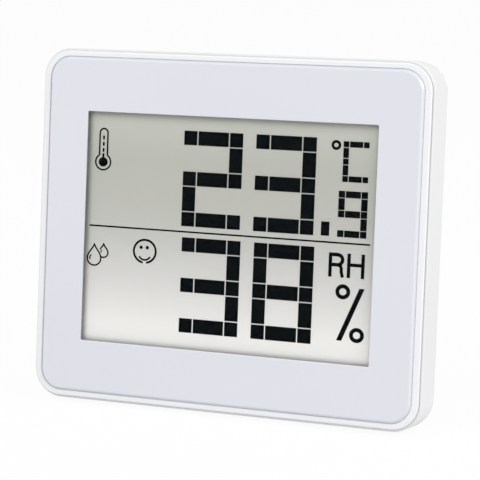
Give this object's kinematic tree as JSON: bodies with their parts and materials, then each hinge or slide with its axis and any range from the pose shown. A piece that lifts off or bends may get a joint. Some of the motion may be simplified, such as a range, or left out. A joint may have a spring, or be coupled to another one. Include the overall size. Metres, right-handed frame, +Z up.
{
  "type": "digital thermo-hygrometer",
  "caption": "Desk thermo-hygrometer with a segment display behind a clear pane, leaning back on a fold-out leg, with a battery door, keys and a keyhole at its back.",
  "frame": {"origin": "middle of the bounding box, on the surface that the part stands on", "axes": "+X to the right as seen from the front, +Y from the display to the back, +Z up; the housing leans back about X"},
  "size_m": [0.1016, 0.0348, 0.087],
  "materials": {
    "white_housing": "fine satin moulded ABS",
    "white_fascia": "high gloss, faintly cool white",
    "clear_pane": "clear acrylic pane",
    "display_film": "polarising film over the display",
    "display_glass": "thin float glass",
    "reflector": "silver reflector film",
    "tape": "double-sided tape",
    "rubber_strip": "silicone rubber",
    "circuit_board": "green solder mask",
    "resin": "black resin",
    "bright_metal": "nickel-plated steel",
    "ceramic": "ceramic chips with tinned ends",
    "sensor_white": "white sensor case",
    "switch_black": "black switch housing",
    "cell_jacket": "plain metal jacket"
  },
  "bodies": {
    "housing": {"front_bezel": "white_housing", "fascia_panel": "white_fascia", "fascia_adhesive": "tape", "window_lens": "clear_pane", "lcd_front_polarizer": "display_film", "lcd_front_glass": "display_glass", "lcd_rear_glass": "display_glass", "lcd_reflector": "reflector", "zebra_connector": "rubber_strip", "pcb": "circuit_board", "chip_blob": "resin", "clock_crystal": "bright_metal", "smd_parts": "ceramic", "humidity_sensor": "sensor_white", "thermistor": "resin", "switch_bodies": "switch_black", "rear_cover": "white_housing", "battery_cell": "cell_jacket", "negative_contact": "bright_metal", "positive_contact": "bright_metal", "case_screws": "bright_metal", "pcb_screws": "bright_metal"},
    "leg": {"stand_leg": "white_housing"},
    "door": {"battery_door": "white_housing"},
    "unit_key": {"button_unit": "white_housing", "switch_plunger_unit": "switch_black"},
    "memory_key": {"button_memory": "white_housing", "switch_plunger_memory": "switch_black"}
  },
  "joints": [
    {"name": "leg_hinge", "type": "hinge", "parent": "housing", "child": "leg", "pos_m": [0, -0.00275, 0.00826], "axis": [1, 0, 0], "range_deg": [0, 103.25]},
    {"name": "door_hinge", "type": "hinge", "parent": "housing", "child": "door", "pos_m": [0, 0.00183, 0.03243], "axis": [-1, 0, 0], "range_deg": [0, 70]},
    {"name": "unit_press", "type": "slide", "parent": "housing", "child": "unit_key", "axis": [0, -0.9951, 0.0993], "range_m": [0, 0.0005], "stiffness_N_per_m": 3000},
    {"name": "memory_press", "type": "slide", "parent": "housing", "child": "memory_key", "axis": [0, -0.9951, 0.0993], "range_m": [0, 0.0005], "stiffness_N_per_m": 3000}
  ]
}
